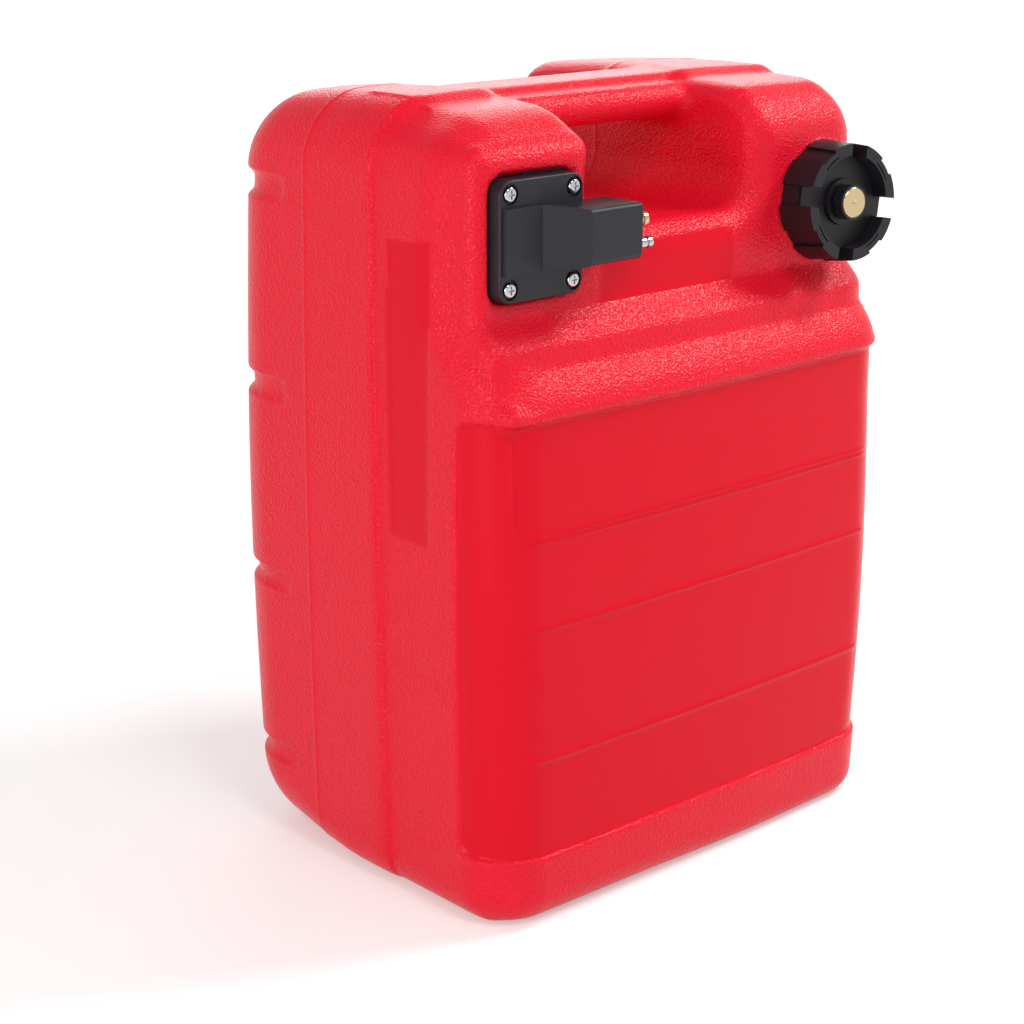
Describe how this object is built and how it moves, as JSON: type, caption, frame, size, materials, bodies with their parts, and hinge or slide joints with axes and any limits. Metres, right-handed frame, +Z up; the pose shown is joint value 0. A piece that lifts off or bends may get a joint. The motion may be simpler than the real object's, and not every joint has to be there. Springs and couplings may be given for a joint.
{
  "type": "outboard fuel tank",
  "caption": "Portable red plastic marine fuel tank with a carrying bar, a screw cap with an air vent screw, and a screwed-on fuel outlet with a valved prong and a guide pin.",
  "frame": {"origin": "on the surface that the tank stands on, midway between its sides and at the middle of its base", "axes": "+Z up, +X to the tank's right (the filler cap's side), -Y out of the front face with the cap and the outlet"},
  "size_m": [0.3308, 0.2522, 0.46],
  "materials": {
    "red_plastic": "pebbled red polyethylene with smooth fields",
    "black_plastic": "fine-grained black nylon",
    "grey_plastic": "natural polyethylene",
    "rubber": "fuel-resistant rubber",
    "brass": "turned brass",
    "chrome": "bright chrome",
    "steel": "stainless spring steel"
  },
  "bodies": {
    "tank": {"tank_shell": "red_plastic", "outlet_flange": "black_plastic", "flange_gasket": "rubber", "flange_screws": "chrome", "screw_inserts": "brass", "outlet_nipple": "brass", "guide_pin": "chrome", "nipple_o_ring": "rubber", "guide_pin_o_ring": "rubber", "check_spring": "steel", "pickup_tube": "grey_plastic", "pickup_strainer": "grey_plastic", "tube_clamp": "steel"},
    "cap_lift": {"cap_gasket": "rubber"},
    "cap": {"cap_shell": "black_plastic", "cap_disc": "black_plastic", "vent_hub": "black_plastic", "splash_guard": "grey_plastic"},
    "vent_lift": {"vent_seal": "rubber"},
    "vent": {"vent_screw": "brass", "vent_knob": "black_plastic", "vent_clip": "steel"},
    "poppet": {"check_poppet": "brass"}
  },
  "joints": [
    {"name": "cap_slide", "type": "slide", "parent": "tank", "child": "cap_lift", "axis": [-0.1043, -0.9921, 0.0698], "range_m": [0, 0.00851]},
    {"name": "cap_turn", "type": "hinge", "parent": "cap_lift", "child": "cap", "pos_m": [0.116, -0.09859, 0.386], "axis": [-0.1043, -0.9921, 0.0698], "range_deg": [0, 900]},
    {"name": "vent_slide", "type": "slide", "parent": "cap", "child": "vent_lift", "axis": [-0.1043, -0.9921, 0.0698], "range_m": [0, 0.00301]},
    {"name": "vent_turn", "type": "hinge", "parent": "vent_lift", "child": "vent", "pos_m": [0.116, -0.09859, 0.386], "axis": [-0.1043, -0.9921, 0.0698], "range_deg": [0, 720]},
    {"name": "poppet_slide", "type": "slide", "parent": "tank", "child": "poppet", "axis": [-1, 0, 0], "range_m": [0, 0.003], "stiffness_N_per_m": 200, "deforming": ["check_spring"]}
  ],
  "couplings": [
    {"joint": "cap_slide", "follows": "cap_turn", "m_per_rad": 0.00054113},
    {"joint": "vent_slide", "follows": "vent_turn", "m_per_rad": 0.00023873}
  ]
}
